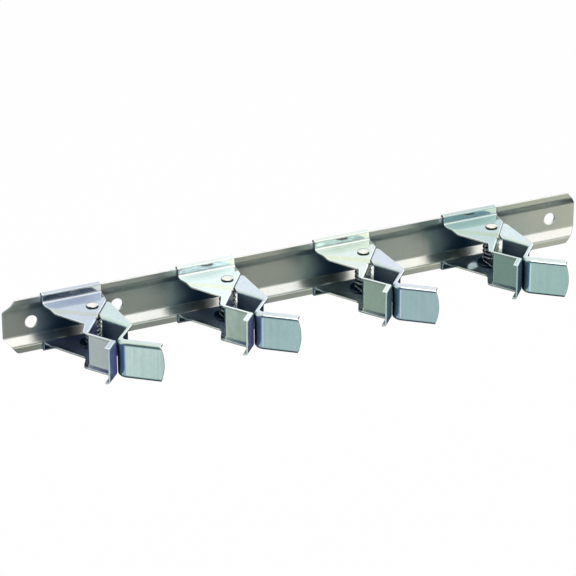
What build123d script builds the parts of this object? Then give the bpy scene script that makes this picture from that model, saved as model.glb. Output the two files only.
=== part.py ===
"""Wall rail with four spring clips that grip the handles of brooms, mops and other long tools.

The rail is a roll-formed steel strip whose web lies flat on the wall. Its two lips stand forward of the
web, and each clip hooks over both of them, so a clip slides along the rail. A clip is a folded bracket with
a fixed jaw, a second folded jaw that ends in a push paddle, a rivet that both jaws share, a spacer tube on
the rivet and a torsion spring that holds the jaws shut.

Millimetres. X runs along the rail, Y points into the wall and Z is up. The origin is the middle of the
rail's back face, on the wall. Each clip is drawn round its own rivet and then set on the rail.
"""

import math
import os

from build123d import *

# Rail
rail_length = 457.0
rail_height = 41.0
rail_sheet = 1.5
web_height = 19.5
lip_height = 5.25
lip_stand = 4.5  # clear depth between the wall and the back of a lip
rail_bend_radius = 1.5  # at the inside of a bend
rail_end_cut = 8.5  # how far the lips stop short of the ends of the web
rail_corner_radius = 3.0
screw_hole_diameter = 9.3
outer_hole_from_end = 21.0
inner_hole_spacing = 286.0

# Clips along the rail, by the place of each rivet
clip_places = (-171.0, -68.3, 39.2, 144.3)
pivot_from_wall = 25.9

# Sheet metal of the clips
clip_sheet = 1.2
bend_radius = 2.4  # at the outside of a bend between a wall and its plate or lip
plate_clearance = 0.3  # between a plate of the bracket and the jaw plate beside it
jaw_half_height = 13.6  # from the middle of the clip to the outer face of a jaw plate

# Both jaws, seen in plan from the rivet, with the clip open to the middle of its travel
jaw_lean = 36.5  # degrees from straight out of the wall to a rear wall
wall_offset = 7.0  # from the rivet across to the grip side of a rear wall
jaw_reach = 37.3  # from the rivet along to the elbow between the rear and front walls
elbow_radius = 2.5  # on the outer side
front_wall_lean = 32.0
lip_width = 3.5  # of the stiffening lips, from the grip side of the wall
plate_corner_radius = 2.5
closed_angle = 10.0  # how far the moving jaw swings in from the middle of its travel to shut

# Bracket
fixed_front_length = 23.4
joggle_start = 10.4  # from the rivet, where its plate begins to step down to the jaw's level
joggle_run = 3.2
joggle_flat = 0.6  # level stretch between the step and the start of a rear wall
joggle_radius = 1.5
plate_tail = 11.5  # from the rivet back to the plate's corner behind it
plate_width = 22.8  # from the rivet across to the plate's left corner
waist_along, waist_across = 25.5, -1.2  # corner of the plate beside the fixed jaw, from the rivet
entry_flange_length = 14.5
entry_flange_lean = 41.5
entry_bend_radius = 1.0  # on the outer side
hook_left = 30.0  # from the rivet
hook_right = 14.0
hook_clearance = 0.25  # between a hook and the lip of the rail
hook_bend_radius = 1.5  # at the outside of the two bends over the lip
hook_root_radius = 2.0  # where the hook rises from the plate
hook_lean = 4.0  # degrees that its front leans back towards the lip
hook_tail = 4.0  # height of the hook behind the lip

# Moving jaw
moving_front_length = 26.2
jaw_lobe_radius = 9.5
jaw_waist_along, jaw_waist_across = 24.7, 4.0  # corner of its plate beside its own walls
jaw_tail_across, jaw_tail_back = 13.3, 8.7  # corner of its plate behind the rivet
jaw_wall_relief = 0.5  # how much later its rear wall begins than the plate
paddle_length = 32.8
paddle_lean = 60.0
paddle_bend_radius = 7.0  # on the rear side
paddle_lip_width = 5.5
paddle_crown = 2.8  # how far the end of the paddle bows out

# Rivet and spacer tube
rivet_diameter = 5.0
running_clearance = 0.05  # on the radius
rivet_head_diameter = 8.8
rivet_head_height = 2.0
spacer_coil_clearance = 0.4  # on the radius, inside the coil
spacer_end_clearance = 0.1

# Torsion spring
wire_diameter = 1.8
wire_sides = 5
chords_per_half_turn = 6
coil_diameter = 10.6  # to the middle of the wire
coil_height = 21.6  # between the legs, to the middle of the wire
coil_turns = 6  # whole turns, before the half turn that brings the second leg to the other side
leg_clearance = 0.3  # between the end of a leg and the wall that it bears on

# Levels and places worked out from the sizes above
outer_hole_spacing = rail_length - 2 * outer_hole_from_end
lip_front = lip_stand + rail_sheet
plate_inner = jaw_half_height - clip_sheet
bracket_plate_inner = jaw_half_height + plate_clearance
bracket_plate_outer = bracket_plate_inner + clip_sheet
wall_start = joggle_start + joggle_run + joggle_flat
pin_hole_radius = rivet_diameter / 2 + running_clearance
spacer_radius = (coil_diameter - wire_diameter) / 2 - spacer_coil_clearance


def heading(lean):
    """Plan direction that leans by an angle in degrees from straight out of the wall towards -X."""
    return Vector(-math.sin(math.radians(lean)), -math.cos(math.radians(lean)))


def right_of(way):
    """Plan direction a quarter turn to the right of another."""
    return Vector(way.Y, -way.X)


def jaw_point(along, across):
    """Plan point from its distances along and to the outer side of the rear wall's direction from the rivet."""
    return heading(jaw_lean) * along + right_of(heading(jaw_lean)) * across


def parallel(line, distances):
    """Corners of the line that runs to the right of another, each stretch at its own distance."""
    ways = [(end - start).normalized() for start, end in zip(line, line[1:])]
    shifts = [right_of(way) * distance for way, distance in zip(ways, distances)]
    corners = [line[0] + shifts[0]]
    for i in range(1, len(ways)):
        across = right_of(ways[i])
        reach = (shifts[i] - shifts[i - 1]).dot(across) / ways[i - 1].dot(across)
        corners.append(line[i] + shifts[i - 1] + ways[i - 1] * reach)
    return corners + [line[-1] + shifts[-1]]


def sheet_section(face, face_radii, back_radii, thickness):
    """Outline of a folded sheet from the corners and bend radii of one face. The sheet lies to its right."""
    back = parallel(face, [thickness] * (len(face) - 1))
    with BuildLine() as outline:
        FilletPolyline(*face, radius=face_radii)
        FilletPolyline(*back, radius=back_radii)
        Line(face[0], back[0])
        Line(face[-1], back[-1])
    return outline.line


def rim_along(part, line):
    """Edges round the top of a part that lie over a plan line."""
    top = part.faces().sort_by(Axis.Z)[-1]
    lifted = line.moved(Location((0, 0, top.center().Z)))
    return top.edges().filter_by(lambda edge: lifted.distance_to(edge @ 0.5) < running_clearance)


def folded_jaw(
    front_length, mouth_length, mouth_lean, mouth_radius, mouth_grip_radius, mouth_lip, plate_outline
):
    """Upper half of a jaw: rear wall, front wall and mouth, bent over at the top into a plate and lips.

    The jaw is on the left of the rivet. The plate's outline carries on from the lips to the start of the wall.
    """
    grip = [jaw_point(wall_start, -wall_offset), jaw_point(jaw_reach, -wall_offset)]
    grip.append(grip[1] + heading(-front_wall_lean) * front_length)
    grip.append(grip[2] + heading(mouth_lean) * mouth_length)
    outer = parallel(grip, [clip_sheet] * 3)
    lip = parallel(grip, [lip_width, lip_width, mouth_lip])
    before = outer[0] - heading(jaw_lean) * wall_start
    beyond = outer[3] + heading(mouth_lean) * mouth_length
    with BuildPart() as hollow:
        with BuildSketch():
            with BuildLine():
                FilletPolyline(before, outer[1], outer[2], beyond, radius=[elbow_radius, mouth_radius])
                Polyline(beyond, (-rail_length, beyond.Y), (-rail_length, rail_length), (0, rail_length), before)
            make_face()
        extrude(amount=plate_inner)
    with BuildPart() as jaw:
        with BuildSketch():
            with BuildLine():
                face = FilletPolyline(*grip, radius=[0, mouth_grip_radius])
                corners = [grip[3], lip[3], lip[2], lip[1], *plate_outline, grip[0]]
                rounds = [0, mouth_radius / 2, elbow_radius + lip_width - clip_sheet]
                rounds += [plate_corner_radius] * (len(plate_outline) - 1)
                FilletPolyline(*corners, radius=[*rounds, 0])
            make_face()
        extrude(amount=jaw_half_height)
        fillet(rim_along(jaw, face), bend_radius)
        add(hollow.part, mode=Mode.SUBTRACT)
    return jaw.part


# Rail
slant_top = rail_height / 2 - lip_height
rail_face = [
    Vector(-lip_front, -rail_height / 2),
    Vector(-lip_front, -slant_top),
    Vector(-rail_sheet, -web_height / 2),
    Vector(-rail_sheet, web_height / 2),
    Vector(-lip_front, slant_top),
    Vector(-lip_front, rail_height / 2),
]
inside_bend = rail_bend_radius
outside_bend = rail_bend_radius + rail_sheet
rail_end = rail_length / 2
lip_end = rail_end - rail_end_cut
with BuildPart() as rail:
    with BuildSketch(Plane.YZ):
        with BuildLine():
            add(
                sheet_section(
                    rail_face,
                    [outside_bend, inside_bend, inside_bend, outside_bend],
                    [inside_bend, outside_bend, outside_bend, inside_bend],
                    rail_sheet,
                )
            )
        make_face()
    extrude(amount=rail_end, both=True)
    with BuildSketch(Plane.XZ):
        with BuildLine():
            FilletPolyline(
                (rail_end, web_height / 2),
                (lip_end, rail_height / 2),
                (-lip_end, rail_height / 2),
                (-rail_end, web_height / 2),
                (-rail_end, -web_height / 2),
                (-lip_end, -rail_height / 2),
                (lip_end, -rail_height / 2),
                (rail_end, -web_height / 2),
                radius=[0, rail_corner_radius, rail_corner_radius, 0, 0, rail_corner_radius, rail_corner_radius, 0],
                close=True,
            )
        make_face()
    extrude(amount=2 * lip_front, both=True, mode=Mode.INTERSECT)
    with BuildSketch(Plane.XZ):
        with GridLocations(outer_hole_spacing, 0, 2, 1):
            Circle(screw_hole_diameter / 2)
        with GridLocations(inner_hole_spacing, 0, 2, 1):
            Circle(screw_hole_diameter / 2)
    extrude(amount=2 * rail_sheet, both=True, mode=Mode.SUBTRACT)

# Bracket: a stepped plate and its mirror image below, joined by the fixed jaw, with a hook at the back of each
forward = heading(jaw_lean)
hook_face = pivot_from_wall - lip_front - hook_clearance - clip_sheet
hook_back = pivot_from_wall - lip_stand + hook_clearance + clip_sheet
hook_top = rail_height / 2 + hook_clearance + clip_sheet
hook_foot = hook_face - (hook_top - bracket_plate_outer) * math.tan(math.radians(hook_lean))
plate_rear = hook_foot - hook_root_radius - clip_sheet
plate_left_corner = jaw_point(wall_start, plate_width)
fixed_jaw = folded_jaw(
    fixed_front_length,
    entry_flange_length,
    entry_flange_lean,
    entry_bend_radius,
    0,
    lip_width,
    [jaw_point(waist_along, waist_across), plate_left_corner],
)
with BuildPart() as bracket:
    with BuildSketch(Plane(origin=(0, 0, 0), x_dir=forward, z_dir=right_of(forward))):
        with BuildLine():
            add(
                sheet_section(
                    [
                        Vector(-rail_height, bracket_plate_outer),
                        Vector(joggle_start, bracket_plate_outer),
                        Vector(joggle_start + joggle_run, jaw_half_height),
                        Vector(wall_start, jaw_half_height),
                    ],
                    [joggle_radius + clip_sheet, joggle_radius],
                    [joggle_radius, joggle_radius + clip_sheet],
                    clip_sheet,
                )
            )
        make_face()
    extrude(amount=rail_height, both=True)
    with BuildSketch():
        with BuildLine():
            FilletPolyline(
                jaw_point(wall_start, -wall_offset),
                jaw_point(-plate_tail, -wall_offset),
                (hook_right, plate_rear),
                (-hook_left, plate_rear),
                plate_left_corner,
                radius=[0, plate_corner_radius, 0, 0, 0],
                close=True,
            )
        make_face()
    extrude(amount=2 * bracket_plate_outer, mode=Mode.INTERSECT)
    with BuildSketch(Plane.YZ.offset(-hook_left)):
        with BuildLine():
            add(
                sheet_section(
                    [
                        Vector(plate_rear, bracket_plate_outer),
                        Vector(hook_foot, bracket_plate_outer),
                        Vector(hook_face, hook_top),
                        Vector(hook_back, hook_top),
                        Vector(hook_back, rail_height / 2 - hook_tail),
                    ],
                    [hook_root_radius, hook_bend_radius, hook_bend_radius],
                    [hook_root_radius + clip_sheet, 0, 0],
                    clip_sheet,
                )
            )
        make_face()
    extrude(amount=hook_left + hook_right)
    add(fixed_jaw)
    with BuildSketch():
        Circle(pin_hole_radius)
    extrude(amount=2 * bracket_plate_outer, mode=Mode.SUBTRACT)
    mirror(about=Plane.XY)

# Moving jaw, drawn on the left of the rivet like the fixed one and then turned over to the right
paddle_way = heading(paddle_lean)
moving_jaw = folded_jaw(
    moving_front_length,
    paddle_length + paddle_crown,
    paddle_lean,
    paddle_bend_radius,
    paddle_bend_radius + clip_sheet,
    paddle_lip_width,
    [jaw_point(jaw_waist_along, jaw_waist_across), Vector(-jaw_tail_across, jaw_tail_back), Vector(0, 0)],
)
paddle_root = jaw_point(jaw_reach, -wall_offset) + heading(-front_wall_lean) * moving_front_length
with BuildPart() as jaw:
    add(moving_jaw)
    with BuildSketch(Plane.XY.offset(plate_inner)):
        Circle(jaw_lobe_radius)
    extrude(amount=clip_sheet)
    with BuildSketch():
        Circle(pin_hole_radius)
    extrude(amount=2 * bracket_plate_outer, mode=Mode.SUBTRACT)
    with BuildSketch():
        Polygon(
            jaw_point(0, -wall_offset - clip_sheet),
            jaw_point(wall_start + jaw_wall_relief, -wall_offset - clip_sheet),
            jaw_point(wall_start + jaw_wall_relief, -wall_offset + 2 * clip_sheet),
            jaw_point(0, -wall_offset + 2 * clip_sheet),
            align=None,
        )
    extrude(amount=jaw_half_height - bend_radius, mode=Mode.SUBTRACT)
    with BuildSketch(Plane(origin=paddle_root, x_dir=paddle_way, z_dir=right_of(paddle_way))):
        with BuildLine():
            crown = ThreePointArc(
                (paddle_length, -jaw_half_height),
                (paddle_length + paddle_crown, 0),
                (paddle_length, jaw_half_height),
            )
            Polyline(
                crown @ 0,
                (paddle_length + 2 * paddle_crown, -jaw_half_height),
                (paddle_length + 2 * paddle_crown, jaw_half_height),
                crown @ 1,
            )
        make_face()
    extrude(amount=2 * paddle_lip_width, both=True, mode=Mode.SUBTRACT)
    mirror(about=Plane.XY)

# Rivet
with BuildPart() as rivet:
    Cylinder(rivet_diameter / 2, 2 * bracket_plate_outer)
    with BuildSketch(Plane.XY.offset(bracket_plate_outer)):
        Circle(rivet_head_diameter / 2)
    extrude(amount=rivet_head_height)
    mirror(about=Plane.XY)

# Spacer tube
with BuildPart() as spacer:
    with BuildSketch(Plane.XY.offset(spacer_end_clearance - plate_inner)):
        Circle(spacer_radius)
        Circle(pin_hole_radius, mode=Mode.SUBTRACT)
    extrude(amount=2 * (plate_inner - spacer_end_clearance))


# Torsion spring
def coil_point(turns):
    """Point on the coil after a number of turns, clockwise from the left-hand leg and rising."""
    angle = math.pi - 2 * math.pi * turns
    rise = coil_height / (coil_turns + 0.5)
    radius = coil_diameter / 2
    return Vector(radius * math.cos(angle), radius * math.sin(angle), rise * turns - coil_height / 2)


def leg_reach(lean):
    """How far a leg runs forward of the rivet, to end just short of a rear wall with the given lean."""
    slant = math.radians(lean)
    inner_side = (coil_diameter - wire_diameter) / 2
    return (wall_offset - clip_sheet - leg_clearance + inner_side * math.cos(slant)) / math.sin(slant)


half_turns = 2 * coil_turns + 1
chords = half_turns * chords_per_half_turn
coil = [coil_point(i / (2 * chords_per_half_turn)) for i in range(chords + 1)]
left_leg_end = coil[0] - Vector(0, leg_reach(jaw_lean), 0)
right_leg_end = coil[-1] - Vector(0, leg_reach(jaw_lean - closed_angle), 0)
with BuildPart() as spring:
    with BuildLine() as wire:
        Polyline(left_leg_end, *coil, right_leg_end)
    with BuildSketch(Plane(origin=left_leg_end, z_dir=(0, 1, 0))):
        RegularPolygon(wire_diameter / 2, wire_sides)
    sweep(transition=Transition.RIGHT)

# Least gap between the turns, on the coil's points that are at least half a turn apart
least_gap = min(
    (coil[j] - coil[i]).length - wire_diameter
    for i in range(len(coil))
    for j in range(i + chords_per_half_turn, len(coil))
)
print(f"Least gap between the turns of a spring: {least_gap:.2f} mm")

# The moving jaw goes to the right of the rivet
with BuildPart() as push_jaw:
    mirror(jaw.part, about=Plane.YZ)

# Clips on the rail
clip_pieces = (
    ("clip_bracket", bracket, 0),
    ("push_jaw", push_jaw, -closed_angle),
    ("pivot_rivet", rivet, 0),
    ("pivot_spacer", spacer, 0),
    ("torsion_spring", spring, 0),
)
os.makedirs("parts", exist_ok=True)
rail.part.label = "rail"
export_step(rail.part, "parts/rail.step")
for number, place in enumerate(clip_places, start=1):
    for name, piece, turn in clip_pieces:
        with BuildPart() as placed:
            with Locations(Location((place, -pivot_from_wall, 0), (0, 0, turn))):
                add(piece.part)
        placed.part.label = f"{name}_{number}"
        export_step(placed.part, f"parts/{name}_{number}.step")
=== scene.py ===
import math

import bpy
from mathutils import Matrix, Vector


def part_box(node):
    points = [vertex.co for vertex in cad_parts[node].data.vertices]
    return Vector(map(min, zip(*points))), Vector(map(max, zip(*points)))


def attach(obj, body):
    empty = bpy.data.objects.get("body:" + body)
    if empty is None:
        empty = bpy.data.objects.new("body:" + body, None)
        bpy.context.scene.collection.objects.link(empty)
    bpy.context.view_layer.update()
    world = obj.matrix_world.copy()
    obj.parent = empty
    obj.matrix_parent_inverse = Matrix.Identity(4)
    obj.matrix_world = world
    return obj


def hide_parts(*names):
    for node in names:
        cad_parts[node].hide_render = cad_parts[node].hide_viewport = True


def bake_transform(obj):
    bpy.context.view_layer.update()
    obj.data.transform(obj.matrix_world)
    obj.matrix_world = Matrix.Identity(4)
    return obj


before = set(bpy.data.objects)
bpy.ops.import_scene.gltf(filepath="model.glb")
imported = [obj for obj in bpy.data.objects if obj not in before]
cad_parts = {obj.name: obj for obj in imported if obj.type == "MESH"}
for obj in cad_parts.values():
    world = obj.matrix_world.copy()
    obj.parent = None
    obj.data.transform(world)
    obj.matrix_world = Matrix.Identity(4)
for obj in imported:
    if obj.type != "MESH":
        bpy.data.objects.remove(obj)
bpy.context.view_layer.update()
scene = bpy.context.scene


# Rail
# One strip of zinc-plated steel, roll-formed with a flat web and two forward lips and punched for screws.
# The rolls leave a grain along it, and the plating clouds a little from place to place.
def feed(tree, source, socket):
    """Links a socket to its source, or sets it where the source is a plain number, direction or colour."""
    if isinstance(source, bpy.types.NodeSocket):
        tree.links.new(source, socket)
    elif socket.type == "RGBA":
        socket.default_value = (*source, 1.0)
    else:
        socket.default_value = source


def ramp(tree, value, start, end, low=0.0, high=1.0, smooth=False):
    """Goes from low to high while the value goes from start to end."""
    node = tree.nodes.new("ShaderNodeMapRange")
    if smooth:
        node.interpolation_type = "SMOOTHSTEP"
    node.inputs["From Min"].default_value = start
    node.inputs["From Max"].default_value = end
    node.inputs["To Min"].default_value = low
    node.inputs["To Max"].default_value = high
    feed(tree, value, node.inputs["Value"])
    return node.outputs["Result"]


def mix(tree, share, first, second, how="MIX"):
    """Lays a share of the second colour over the first."""
    node = tree.nodes.new("ShaderNodeMix")
    node.data_type = "RGBA"
    node.blend_type = how
    feed(tree, share, node.inputs["Factor"])
    feed(tree, first, node.inputs["A"])
    feed(tree, second, node.inputs["B"])
    return node.outputs["Result"]


def compute(tree, operation, first, second=None):
    """Works out one value from one or two others and holds it between 0 and 1."""
    node = tree.nodes.new("ShaderNodeMath")
    node.operation = operation
    node.use_clamp = True
    feed(tree, first, node.inputs[0])
    if second is not None:
        feed(tree, second, node.inputs[1])
    return node.outputs["Value"]


def agreement(tree, first, second):
    """How far two directions agree, which is 1 where they are the same."""
    node = tree.nodes.new("ShaderNodeVectorMath")
    node.operation = "DOT_PRODUCT"
    feed(tree, first, node.inputs[0])
    feed(tree, second, node.inputs[1])
    return node.outputs["Value"]


def measure_along(tree, vector, axis):
    """One measure of a place or a direction."""
    node = tree.nodes.new("ShaderNodeSeparateXYZ")
    feed(tree, vector, node.inputs["Vector"])
    return node.outputs[axis]


def clouds(tree, place, per_metre, detail):
    """Soft clouds from dark to light, so many to the metre."""
    node = tree.nodes.new("ShaderNodeTexNoise")
    node.inputs["Scale"].default_value = per_metre
    node.inputs["Detail"].default_value = detail
    feed(tree, place, node.inputs["Vector"])
    return node.outputs["Fac"]


def openness(tree, reach):
    """How open a face is to its surroundings, up to the reach: 1 in the open and 0 when closed in."""
    rays = 8
    node = tree.nodes.new("ShaderNodeAmbientOcclusion")
    node.samples = rays
    node.inputs["Distance"].default_value = reach
    return node.outputs["AO"]


def rounded(tree, radius, rays):
    """The way that a face looks, with its edges rounded."""
    node = tree.nodes.new("ShaderNodeBevel")
    node.samples = rays
    node.inputs["Radius"].default_value = radius
    return node.outputs["Normal"]


def relief(tree, normal, height, depth, strength):
    """Tips the way that a face looks by a slight relief."""
    node = tree.nodes.new("ShaderNodeBump")
    node.inputs["Strength"].default_value = strength
    node.inputs["Distance"].default_value = depth
    feed(tree, height, node.inputs["Height"])
    feed(tree, normal, node.inputs["Normal"])
    return node.outputs["Normal"]


def bright_steel(
    name,
    colour,
    cloud_colour,
    cloud_size,
    line_way,
    line_pitch,
    line_depth,
    swell_depth,
    roughness,
    painted_shade_colour,
    recess_reach,
    recess_span=(0.15, 0.55),
    bright_ledges=False,
):
    """Steel, plated or plain: clouded tint, fine lines along one way, a painted highlight on the edges,
    and painted shade in recesses and crevices.

    A face has the painted shade, with less metal and gloss, below the first openness of the recess span,
    and keeps its own tint above the second.
    With bright ledges, faces that look up are left out of the painted shade however closed in they are.
    """
    material = bpy.data.materials.new(name)
    material.use_nodes = True
    tree = material.node_tree
    shader = tree.nodes["Principled BSDF"]
    place = tree.nodes.new("ShaderNodeTexCoord").outputs["Object"]
    face = tree.nodes.new("ShaderNodeNewGeometry").outputs["Normal"]

    # Clouds in the tint
    cloud_span = (0.35, 0.68)
    cloud_share = ramp(tree, clouds(tree, place, 1.0 / cloud_size, detail=3.0), *cloud_span, smooth=True)
    tint = mix(tree, cloud_share, colour, cloud_colour)

    # Spangles of the plating
    spangles_per_metre = 700.0
    darkest_spangle = 0.94
    spangle = tree.nodes.new("ShaderNodeTexVoronoi")
    spangle.inputs["Scale"].default_value = spangles_per_metre
    feed(tree, place, spangle.inputs["Vector"])
    spangle_light = ramp(tree, spangle.outputs["Color"], 0.0, 1.0, darkest_spangle, 1.0)
    tint = mix(tree, 1.0, tint, spangle_light, "MULTIPLY")

    # Lines from rolling or drawing
    line_stretch = 0.97
    line_span = (0.3, 0.7)
    line_shade = 0.10
    line_shine = 0.03
    stretched = tree.nodes.new("ShaderNodeMapping")
    stretched.inputs["Scale"].default_value = [
        (1.0 - line_stretch * abs(part)) / line_pitch for part in line_way
    ]
    feed(tree, place, stretched.inputs["Vector"])
    lines = clouds(tree, stretched.outputs["Vector"], 1.0, detail=4.0)
    darkest_line = 1.0 - line_shade * line_depth
    lightest_line = 1.0 + line_shine * line_depth
    line_light = ramp(tree, lines, *line_span, darkest_line, lightest_line)
    tint = mix(tree, 1.0, tint, line_light, "MULTIPLY")

    # Painted highlight: a near-white colour on the rounded edges
    edge_highlight_width = 0.0014
    edge_highlight_colour = (0.96, 0.97, 0.95)
    edge_highlight_span = (0.995, 0.93)
    edge_highlight = ramp(tree, agreement(tree, rounded(tree, edge_highlight_width, rays=8), face), *edge_highlight_span)
    edge_highlight.node.name = "edge_highlight"
    tint = mix(tree, edge_highlight, tint, edge_highlight_colour)

    # Painted shade in recesses: a dark colour, less metal and less gloss where a face is closed in
    ledge_span = (0.3, 0.5)
    painted_shade_metal = 0.08
    open_gloss = 0.5
    recess = openness(tree, recess_reach)
    recess.node.name = "recess"
    bright = ramp(tree, recess, *recess_span, smooth=True)
    # Faces that look up can be left out of the painted shade.
    if bright_ledges:
        ledge = ramp(tree, measure_along(tree, face, "Z"), *ledge_span)
        bright = compute(tree, "ADD", bright, ledge)
    tint = mix(tree, bright, painted_shade_colour, tint)
    metal = ramp(tree, bright, 0.0, 1.0, painted_shade_metal, 1.0)
    feed(tree, metal, shader.inputs["Metallic"])
    feed(tree, metal, shader.inputs["Specular Tint"])
    feed(tree, ramp(tree, bright, 0.0, 1.0, 0.0, open_gloss), shader.inputs["Specular IOR Level"])

    # Painted shade: darker in crevices, seams and narrow gaps, down to near black
    crevice_reach = 0.004
    crevice_span = (0.2, 0.65)
    darkest_crevice_shade = 0.05
    painted_crevice_shade = ramp(tree, openness(tree, crevice_reach), *crevice_span, darkest_crevice_shade, 1.0)
    tint = mix(tree, 1.0, tint, painted_crevice_shade, "MULTIPLY")
    feed(tree, tint, shader.inputs["Base Color"])

    # Gloss along the lines
    smoothest = 0.9 * roughness
    roughest = 1.12 * roughness
    feed(tree, ramp(tree, lines, 0.0, 1.0, smoothest, roughest), shader.inputs["Roughness"])

    # Rounded edges, with the swell of the sheet and the lines in relief
    edge_radius = 0.0007
    swells_per_metre = 110.0
    swell_height = 0.00012
    line_height = 0.00003
    swell = clouds(tree, place, swells_per_metre, detail=1.0)
    surface = rounded(tree, edge_radius, rays=6)
    surface = relief(tree, surface, swell, swell_height, swell_depth)
    surface = relief(tree, surface, lines, line_height, line_depth)
    feed(tree, surface, shader.inputs["Normal"])
    return material


def coat(node_name, material):
    """Gives a piece of the frame its finish."""
    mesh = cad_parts[node_name].data
    mesh.materials.clear()
    mesh.materials.append(material)


# The rail's painted shade is a dark navy on its faces near the clips, left off the faces that look up.
rail_zinc = bright_steel(
    "satin zinc on the rail",
    colour=(0.70, 0.73, 0.67),
    cloud_colour=(0.63, 0.69, 0.66),
    cloud_size=0.05,
    line_way=(1.0, 0.0, 0.0),
    line_pitch=0.0008,
    line_depth=0.05,
    swell_depth=0.1,
    roughness=0.25,
    painted_shade_colour=(0.020, 0.060, 0.110),
    recess_reach=0.08,
    recess_span=(0.32, 0.82),
    bright_ledges=True,
)
grain_strength = 0.6
quarter_turn = 0.25
rail_shader = rail_zinc.node_tree.nodes["Principled BSDF"]
rolled_way = rail_zinc.node_tree.nodes.new("ShaderNodeCombineXYZ")
rolled_way.inputs["X"].default_value = 1.0
feed(rail_zinc.node_tree, rolled_way.outputs["Vector"], rail_shader.inputs["Tangent"])
rail_shader.inputs["Anisotropic"].default_value = grain_strength
rail_shader.inputs["Anisotropic Rotation"].default_value = quarter_turn
coat("rail", rail_zinc)


# Clip brackets
# Folded from sheet: two plates hooked over the lips of the rail, a fixed jaw and a short entry flange.
# Bright zinc with a cast that differs from clip to clip.
# The entry flange carries a painted reflection in its shade, violet on two clips and blue on two.
def paint_reflection_over(material, colour, start, full):
    """Paints a coloured reflection, with less metal, over the sheltered upright faces at the front of a
    piece.

    It grows from nothing at start to its full strength at full, both measured along Y.
    """
    shelter_span = (0.95, 0.65)
    tree = material.node_tree
    shader = tree.nodes["Principled BSDF"]
    place = tree.nodes.new("ShaderNodeTexCoord").outputs["Object"]
    face = tree.nodes.new("ShaderNodeNewGeometry").outputs["Normal"]
    front_share = ramp(tree, measure_along(tree, place, "Y"), start, full)
    sheltered = ramp(tree, tree.nodes["recess"].outputs["AO"], *shelter_span)
    sheltered_front = compute(tree, "MULTIPLY", front_share, sheltered)
    # The painted reflection is left off level faces and off the painted edge highlight.
    level = compute(tree, "ABSOLUTE", measure_along(tree, face, "Z"))
    left_unpainted = compute(tree, "MAXIMUM", level, tree.nodes["edge_highlight"].outputs["Result"])
    painted_reflection = compute(tree, "SUBTRACT", sheltered_front, left_unpainted)
    bare_tint = shader.inputs["Base Color"].links[0].from_socket
    feed(tree, mix(tree, painted_reflection, bare_tint, colour), shader.inputs["Base Color"])
    bare_metal = shader.inputs["Metallic"].links[0].from_socket
    feed(tree, compute(tree, "SUBTRACT", bare_metal, painted_reflection), shader.inputs["Metallic"])


reflection_start = -0.0790
reflection_full = -0.0815
cloud_shade = 0.93
# Per clip: zinc cast, painted shade colour for its recesses, painted reflection colour for its flange.
bracket_casts = (
    ((0.56, 0.64, 0.72), (0.06, 0.08, 0.30), (0.17, 0.22, 0.62)),
    ((0.80, 0.92, 0.90), (0.05, 0.09, 0.28), (0.13, 0.18, 0.44)),
    ((0.76, 0.87, 0.80), (0.04, 0.09, 0.16), (0.10, 0.24, 0.36)),
    ((0.51, 0.66, 0.64), (0.04, 0.10, 0.18), (0.09, 0.22, 0.32)),
)
clip_numbers = range(1, len(bracket_casts) + 1)
for number, (cast, painted_shade_cast, reflection_cast) in zip(clip_numbers, bracket_casts):
    bracket_zinc = bright_steel(
        f"bright zinc on bracket {number}",
        colour=cast,
        cloud_colour=[cloud_shade * part for part in cast],
        cloud_size=0.03,
        line_way=(0.6, 0.8, 0.0),
        line_pitch=0.0015,
        line_depth=0.15,
        swell_depth=0.4,
        roughness=0.10,
        painted_shade_colour=painted_shade_cast,
        recess_reach=0.03,
        recess_span=(0.25, 0.68),
    )
    paint_reflection_over(bracket_zinc, reflection_cast, reflection_start, reflection_full)
    coat(f"clip_bracket_{number}", bracket_zinc)

# Pivot spacers
# A short length of drawn steel tube on each rivet, inside the spring, left plain.
# It keeps the plates apart when the rivet is headed.
# The spacers' painted shade is a grey-blue where the spring closes them in.
tube_steel = bright_steel(
    "drawn steel of the spacers",
    colour=(0.52, 0.53, 0.54),
    cloud_colour=(0.44, 0.45, 0.47),
    cloud_size=0.01,
    line_way=(0.0, 0.0, 1.0),
    line_pitch=0.0006,
    line_depth=0.3,
    swell_depth=0.1,
    roughness=0.3,
    painted_shade_colour=(0.30, 0.36, 0.40),
    recess_reach=0.01,
)
for number in clip_numbers:
    coat(f"pivot_spacer_{number}", tube_steel)

# Torsion springs
# Round spring wire wound six and a half turns about the spacer, with a straight leg behind each jaw.
# The lower leg stays with the bracket and the upper leg goes with the push jaw, so the real coil twists;
# the wound form here is one fixed shape that does not follow the jaw.
wire_radius = 0.0009
wire_bevel_steps = 3
coil_radius = 0.0053
coil_half_height = 0.0108
coil_turns = 6.5
steps_per_turn = 28
lower_leg = 0.0152
upper_leg = 0.0211
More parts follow.
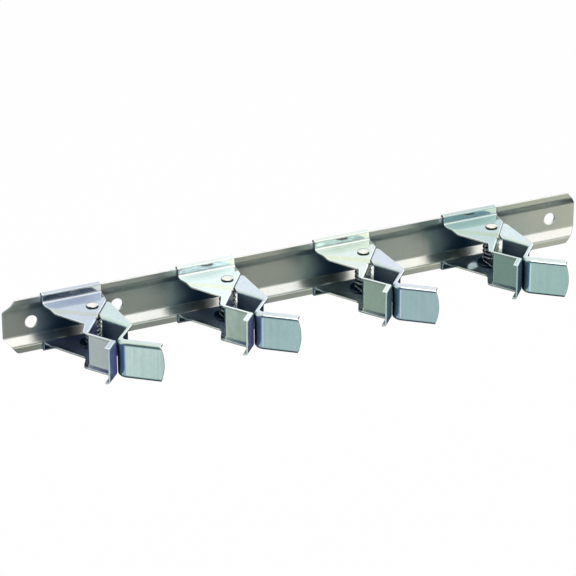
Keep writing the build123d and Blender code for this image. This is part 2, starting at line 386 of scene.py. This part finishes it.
# The wire's painted shade is a grey where the turns close it in.
spring_wire = bright_steel(
    "drawn spring wire",
    colour=(0.60, 0.62, 0.62),
    cloud_colour=(0.42, 0.45, 0.46),
    cloud_size=0.004,
    line_way=(0.7, 0.7, 0.1),
    line_pitch=0.0006,
    line_depth=0.3,
    swell_depth=0.1,
    roughness=0.2,
    painted_shade_colour=(0.30, 0.34, 0.36),
    recess_reach=0.004,
)
for number in clip_numbers:
    rivet_low, rivet_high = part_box(f"pivot_rivet_{number}")
    axis = (rivet_low + rivet_high) / 2
    steps = round(coil_turns * steps_per_turn)
    route = []
    for step in range(steps + 1):
        angle = math.pi - 2 * math.pi * step / steps_per_turn
        height = coil_half_height * (2 * step / steps - 1)
        route.append(axis + Vector((coil_radius * math.cos(angle), coil_radius * math.sin(angle), height)))
    route.insert(0, route[0] - Vector((0, lower_leg, 0)))
    route.append(route[-1] - Vector((0, upper_leg, 0)))
    winding = bpy.data.curves.new(f"winding_{number}", "CURVE")
    winding.dimensions = "3D"
    winding.bevel_depth = wire_radius
    winding.bevel_resolution = wire_bevel_steps
    winding.use_fill_caps = True
    run = winding.splines.new("POLY")
    run.points.add(len(route) - 1)
    for point, place in zip(run.points, route):
        point.co = (*place, 1.0)
    form = bpy.data.objects.new(f"winding_{number}", winding)
    scene.collection.objects.link(form)
    bpy.context.view_layer.update()
    mesh = bpy.data.meshes.new_from_object(form.evaluated_get(bpy.context.evaluated_depsgraph_get()))
    bpy.data.objects.remove(form)
    mesh.shade_smooth()
    mesh.materials.clear()
    mesh.materials.append(spring_wire)
    spring = bpy.data.objects.new(f"wound_spring_{number}", mesh)
    scene.collection.objects.link(spring)
    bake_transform(spring)
    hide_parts(f"torsion_spring_{number}")

# Push jaws
# The moving jaw, folded like the bracket from the same sheet, with the paddle that a handle pushes open.
# Its cast differs from that of its own bracket, as pieces plated in other baskets do.
jaw_casts = (
    (0.62, 0.76, 0.73),
    (0.68, 0.78, 0.82),
    (0.68, 0.76, 0.83),
    (0.70, 0.82, 0.82),
)
for number, cast in zip(clip_numbers, jaw_casts):
    # Each jaw's painted shade is a near-black navy where the jaw is closed in.
    jaw_zinc = bright_steel(
        f"bright zinc on jaw {number}",
        colour=cast,
        cloud_colour=[cloud_shade * part for part in cast],
        cloud_size=0.03,
        line_way=(0.0, 0.0, 1.0),
        line_pitch=0.0022,
        line_depth=0.6,
        swell_depth=0.4,
        roughness=0.09,
        painted_shade_colour=(0.008, 0.030, 0.060),
        recess_reach=0.05,
        recess_span=(0.30, 0.62),
    )
    coat(f"push_jaw_{number}", jaw_zinc)

# Pivot rivets
# Zinc-plated steel rivets through both jaws and the spacer, headed cold over the bracket's plates.
# Each end is a low dome with a rounded rim.
shank_radius = 0.0025
head_radius = 0.0044
head_height = 0.0020
dome_rise = 0.0007
dome_steps = 6
rim_round = 0.0006
rim_turn = math.radians(72.0)
rim_steps = 4
sides = 48
# The rivets' painted shade is near black where a head meets the plate.
rivet_zinc = bright_steel(
    "pale zinc on the rivets",
    colour=(0.90, 0.89, 0.84),
    cloud_colour=(0.82, 0.82, 0.78),
    cloud_size=0.004,
    line_way=(0.3, 0.3, 0.3),
    line_pitch=0.0008,
    line_depth=0.2,
    swell_depth=0.1,
    roughness=0.22,
    painted_shade_colour=(0.05, 0.06, 0.06),
    recess_reach=0.01,
    recess_span=(0.45, 0.80),
)
for number in clip_numbers:
    rivet_low, rivet_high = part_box(f"pivot_rivet_{number}")
    axis = (rivet_low + rivet_high) / 2
    top = (rivet_high.z - rivet_low.z) / 2
    seat = top - head_height
    edge = top - dome_rise
    profile = [
        (shank_radius, seat),
        (head_radius - rim_round / 2, seat),
        (head_radius, seat + rim_round / 2),
        (head_radius, edge - rim_round),
    ]
    for step in range(1, rim_steps + 1):
        turn = rim_turn * step / rim_steps
        across = head_radius - rim_round * (1 - math.cos(turn))
        profile.append((across, edge - rim_round * (1 - math.sin(turn))))
    dome_radius, dome_foot = profile[-1]
    for step in range(1, dome_steps):
        across = dome_radius * (1 - step / dome_steps)
        lift = (top - dome_foot) * (1 - (across / dome_radius) ** 2)
        profile.append((across, dome_foot + lift))
    rings = [(radius, -height) for radius, height in reversed(profile)] + profile
    points = []
    faces = []
    for radius, height in rings:
        for side in range(sides):
            turn = 2 * math.pi * side / sides
            points.append(axis + Vector((radius * math.cos(turn), radius * math.sin(turn), height)))
    for ring in range(len(rings) - 1):
        for side in range(sides):
            after = (side + 1) % sides
            start = ring * sides
            faces.append((start + side, start + after, start + sides + after, start + sides + side))
    points.append(axis - Vector((0, 0, top)))
    points.append(axis + Vector((0, 0, top)))
    last = (len(rings) - 1) * sides
    for side in range(sides):
        after = (side + 1) % sides
        faces.append((len(points) - 2, after, side))
        faces.append((len(points) - 1, last + side, last + after))
    mesh = bpy.data.meshes.new(f"headed_rivet_{number}")
    mesh.from_pydata([tuple(point) for point in points], [], faces)
    mesh.shade_smooth()
    mesh.materials.append(rivet_zinc)
    rivet = bpy.data.objects.new(f"headed_rivet_{number}", mesh)
    scene.collection.objects.link(rivet)
    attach(rivet, f"clip_{number}")
    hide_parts(f"pivot_rivet_{number}")

# Floor
# A plain white sheet well below the rail, white to the camera with a little of the rail's soft shadow.
# From below, and to all other rays, it is clear, so the metal shows the studio and not the sheet.
floor_level = -0.30
floor_half = 3.0
paper_colour = (0.92, 0.92, 0.92)
paper_glow = 0.96
floor_mesh = bpy.data.meshes.new("floor")
floor_mesh.from_pydata(
    [
        (-floor_half, -floor_half, floor_level),
        (floor_half, -floor_half, floor_level),
        (floor_half, floor_half, floor_level),
        (-floor_half, floor_half, floor_level),
    ],
    [],
    [(0, 1, 2, 3)],
)
floor = bpy.data.objects.new("floor", floor_mesh)
scene.collection.objects.link(floor)
floor_paper = bpy.data.materials.new("white paper floor")
floor_paper.use_nodes = True
paper_tree = floor_paper.node_tree
paper_tree.nodes.remove(paper_tree.nodes["Principled BSDF"])
paper = paper_tree.nodes.new("ShaderNodeBsdfDiffuse")
feed(paper_tree, paper_colour, paper.inputs["Color"])
glow = paper_tree.nodes.new("ShaderNodeEmission")
white_paper = paper_tree.nodes.new("ShaderNodeMixShader")
feed(paper_tree, paper_glow, white_paper.inputs["Fac"])
feed(paper_tree, paper.outputs["BSDF"], white_paper.inputs[1])
feed(paper_tree, glow.outputs["Emission"], white_paper.inputs[2])
camera_ray = paper_tree.nodes.new("ShaderNodeLightPath").outputs["Is Camera Ray"]
underside = paper_tree.nodes.new("ShaderNodeNewGeometry").outputs["Backfacing"]
clear = paper_tree.nodes.new("ShaderNodeBsdfTransparent")
sheet = paper_tree.nodes.new("ShaderNodeMixShader")
feed(paper_tree, compute(paper_tree, "SUBTRACT", camera_ray, underside), sheet.inputs["Fac"])
feed(paper_tree, clear.outputs["BSDF"], sheet.inputs[1])
feed(paper_tree, white_paper.outputs["Shader"], sheet.inputs[2])
feed(paper_tree, sheet.outputs["Shader"], paper_tree.nodes["Material Output"].inputs["Surface"])
floor_mesh.materials.append(floor_paper)


# Studio
# White all round to the camera. The metal reflects a dim room with cards in it: pale ones above, behind
# and in front, blue, grey and green ones low on the left, and dark ones between them and below.
def toward(azimuth, elevation):
    """The way to a point so many degrees left of straight out from the rail and so many above level."""
    turn = math.radians(azimuth)
    rise = math.radians(elevation)
    return Vector((-math.sin(turn) * math.cos(rise), -math.cos(turn) * math.cos(rise), math.sin(rise)))


# Each card has the way to its middle, the angle that it fills, the angle where it has faded away, and its
# colour. A later card covers an earlier one. Upright faces show the camera the cards 25 degrees below level.
room_colour = (0.14, 0.18, 0.21)
cards = (
    (toward(-123, -63), 30.0, 62.0, (0.012, 0.020, 0.040)),
    (toward(14, 2), 12.0, 22.0, (0.40, 0.45, 0.47)),
    (toward(110, -5), 26.0, 38.0, (0.025, 0.065, 0.095)),
    (toward(-15, 16), 6.3, 7.6, (0.008, 0.016, 0.035)),
    (toward(14, -25), 10.0, 20.0, (0.22, 0.42, 0.58)),
    (toward(-25, -25), 10.0, 20.0, (0.03, 0.065, 0.08)),
    (toward(-25, -36), 8.0, 12.0, (0.006, 0.010, 0.014)),
    (toward(-40, -17), 9.0, 15.5, (0.80, 0.80, 0.70)),
    (toward(-22, -8), 10.0, 14.0, (1.30, 1.28, 1.10)),
    (toward(-44, -55), 12.0, 24.0, (0.22, 0.25, 0.25)),
    (toward(-28.8, 16), 3.4, 4.4, (0.55, 0.70, 0.80)),
    (toward(-23.2, 16), 1.5, 2.0, (3.00, 3.10, 3.20)),
    (toward(52, -25), 10.0, 19.0, (0.50, 0.64, 0.61)),
    (toward(60.5, -25), 2.5, 4.5, (0.94, 0.97, 0.98)),
    (toward(75, -25), 7.0, 13.0, (0.40, 0.56, 0.74)),
    (toward(90, -25), 5.0, 9.0, (0.33, 0.40, 0.35)),
    (toward(98, -25), 3.0, 6.0, (0.80, 0.80, 0.72)),
    (toward(180, -25), 12.0, 25.0, (0.30, 0.38, 0.46)),
    (toward(154, -26), 9.0, 14.0, (0.008, 0.014, 0.020)),
    (toward(-155, 25), 24.0, 42.0, (1.12, 1.12, 1.16)),
    (toward(-115, 10), 10.0, 24.0, (1.50, 1.50, 1.50)),
    (toward(-38, 52), 23.0, 34.0, (1.53, 1.43, 1.42)),
    (toward(122, 45), 20.0, 40.0, (0.92, 1.00, 0.94)),
    (toward(180, 72), 20.0, 36.0, (1.16, 1.11, 0.95)),
)
studio = bpy.data.worlds.new("studio")
scene.world = studio
studio.use_nodes = True
studio_tree = studio.node_tree
way = studio_tree.nodes.new("ShaderNodeTexCoord").outputs["Generated"]
colour_so_far = room_colour
for direction, filled, faded, colour in cards:
    card_edge = math.cos(math.radians(faded))
    card_core = math.cos(math.radians(filled))
    cover = ramp(studio_tree, agreement(studio_tree, way, direction), card_edge, card_core, smooth=True)
    colour_so_far = mix(studio_tree, cover, colour_so_far, colour)
room = studio_tree.nodes["Background"]
feed(studio_tree, colour_so_far, room.inputs["Color"])
backdrop = studio_tree.nodes.new("ShaderNodeBackground")
feed(studio_tree, (1.0, 1.0, 1.0), backdrop.inputs["Color"])
shown = studio_tree.nodes.new("ShaderNodeMixShader")
feed(studio_tree, studio_tree.nodes.new("ShaderNodeLightPath").outputs["Is Camera Ray"], shown.inputs["Fac"])
feed(studio_tree, room.outputs["Background"], shown.inputs[1])
feed(studio_tree, backdrop.outputs["Background"], shown.inputs[2])
feed(studio_tree, shown.outputs["Shader"], studio_tree.nodes["World Output"].inputs["Surface"])

# Soft box
# One round lamp above the rail, in front of it and to the left, for the soft shadows between the pieces.
soft_box_width = 0.9
soft_box_power = 5.0
soft_box_place = Vector((-0.35, -0.55, 1.1))
lamp = bpy.data.lights.new("soft box", "AREA")
lamp.shape = "DISK"
lamp.size = soft_box_width
lamp.energy = soft_box_power
soft_box = bpy.data.objects.new("soft box", lamp)
scene.collection.objects.link(soft_box)
soft_box.location = soft_box_place
soft_box.rotation_euler = (-soft_box_place).to_track_quat("-Z", "Y").to_euler()

# Camera
# A long lens from the left and above, as in the photograph.
sensor = 36.0
picture = 576.0
focal_pixels = 3053.7
camera_place = Vector((-0.86457, -1.81655, 0.92171))
aim = Vector((-0.01806, -0.020, -0.00437))
roll = math.radians(-0.08)
view_depth = 20.0
lens = bpy.data.cameras.new("camera")
lens.sensor_width = sensor
lens.lens = focal_pixels / picture * sensor
lens.clip_end = view_depth
camera = bpy.data.objects.new("camera", lens)
scene.collection.objects.link(camera)
looking = (aim - camera_place).to_track_quat("-Z", "Y").to_matrix() @ Matrix.Rotation(roll, 3, "Z")
camera.matrix_world = Matrix.Translation(camera_place) @ looking.to_4x4()
scene.camera = camera
scene.view_settings.view_transform = "Standard"
